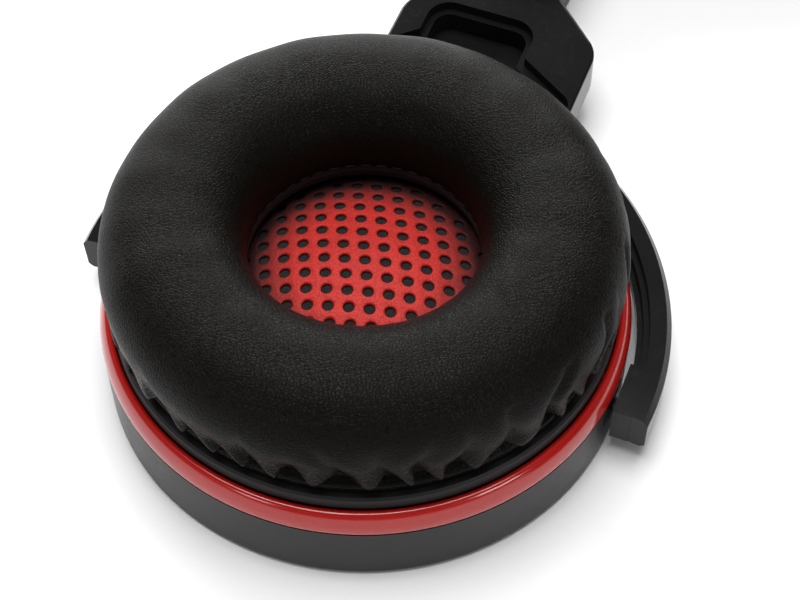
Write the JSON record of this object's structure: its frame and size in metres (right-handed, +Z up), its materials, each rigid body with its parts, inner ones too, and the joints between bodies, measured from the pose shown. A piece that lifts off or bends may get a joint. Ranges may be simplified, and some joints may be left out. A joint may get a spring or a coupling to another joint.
{
  "type": "gaming headset",
  "caption": "Over-ear gaming headset folded flat, with round cushioned cups on swivelling forks, a sliding padded headband and a swing-down microphone.",
  "frame": {"origin": "bottom centre of the bounding box of the headset lying folded flat, on the surface it lies on", "axes": "+Z up, out of both ear cushions; +Y from the cups towards the top of the headband; +X from the wearer's right cup to the wearer's left cup"},
  "size_m": [0.2618, 0.2112, 0.0401],
  "materials": {
    "satin_shell": "satin",
    "gloss_shell": "gloss",
    "accent_red": "gloss",
    "inner_plastic": "matte",
    "cushion_leather": "satin",
    "ear_mesh": "matte",
    "foam": "matte",
    "band_leather": "satin",
    "steel": "satin",
    "black_screw": "satin",
    "copper": "polished",
    "film": "gloss",
    "rubber": "matte",
    "board": "satin"
  },
  "bodies": {
    "headband": {"headband_shell": "gloss_shell", "headband_spring": "steel", "pad_carrier": "inner_plastic", "headband_pad": "band_leather", "left_cap_outer": "satin_shell", "left_cap_inner": "satin_shell", "right_cap_outer": "satin_shell", "right_cap_inner": "satin_shell", "cap_screws": "black_screw", "detent_springs": "steel"},
    "right_extension": {"right_slider": "steel", "right_swivel_shaft": "steel"},
    "right_fork": {"right_yoke": "gloss_shell", "right_yoke_cover": "satin_shell", "right_yoke_screws": "black_screw"},
    "right_cup": {"right_cup_shell": "satin_shell", "right_outer_plate": "inner_plastic", "right_outer_badge": "accent_red", "right_trim_ring": "accent_red", "right_accent_ring": "accent_red", "right_baffle": "satin_shell", "right_driver_frame": "inner_plastic", "right_driver_magnet": "steel", "right_voice_coil": "copper", "right_diaphragm": "film", "right_mesh_foam": "foam", "right_speaker_mesh": "ear_mesh", "right_ear_cushion": "cushion_leather", "right_pivot_pins": "steel", "right_baffle_screws": "black_screw"},
    "left_extension": {"left_slider": "steel", "left_swivel_shaft": "steel"},
    "left_fork": {"left_yoke": "gloss_shell", "left_yoke_cover": "satin_shell", "left_yoke_screws": "black_screw"},
    "left_cup": {"left_cup_shell": "satin_shell", "left_outer_plate": "inner_plastic", "left_outer_badge": "accent_red", "left_trim_ring": "accent_red", "left_accent_ring": "accent_red", "left_baffle": "satin_shell", "left_driver_frame": "inner_plastic", "left_driver_magnet": "steel", "left_voice_coil": "copper", "left_diaphragm": "film", "left_mesh_foam": "foam", "left_speaker_mesh": "ear_mesh", "left_ear_cushion": "cushion_leather", "left_pivot_pins": "steel", "left_baffle_screws": "black_screw", "mic_mount": "satin_shell", "mic_pin": "steel", "cable_gland": "rubber", "junction_board": "board"},
    "mic_boom": {"mic_hub": "satin_shell", "mic_arm": "inner_plastic", "mic_gooseneck": "rubber", "mic_capsule": "inner_plastic", "mic_windscreen": "foam"}
  },
  "joints": [
    {"name": "right_adjust", "type": "slide", "parent": "headband", "child": "right_extension", "axis": [0, -0.9988, -0.048], "range_m": [0, 0.022]},
    {"name": "right_swivel", "type": "hinge", "parent": "right_extension", "child": "right_fork", "pos_m": [-0.07895, 0.02295, 0.01204], "axis": [0, 0.9988, 0.048], "range_deg": [0, 95]},
    {"name": "right_tilt", "type": "hinge", "parent": "right_fork", "child": "right_cup", "pos_m": [-0.07895, -0.05696, 0.0082], "axis": [1, 0, 0], "range_deg": [-10, 10]},
    {"name": "left_adjust", "type": "slide", "parent": "headband", "child": "left_extension", "axis": [0, -0.9988, -0.048], "range_m": [0, 0.022]},
    {"name": "left_swivel", "type": "hinge", "parent": "left_extension", "child": "left_fork", "pos_m": [0.07105, 0.02295, 0.01204], "axis": [0, -0.9988, -0.048], "range_deg": [0, 95]},
    {"name": "left_tilt", "type": "hinge", "parent": "left_fork", "child": "left_cup", "pos_m": [0.07105, -0.05696, 0.0082], "axis": [1, 0, 0], "range_deg": [-10, 10]},
    {"name": "mic_swing", "type": "hinge", "parent": "left_cup", "child": "mic_boom", "pos_m": [0.11569, -0.08822, 0.0082], "axis": [0, 0, -1], "range_deg": [0, 125]}
  ]
}
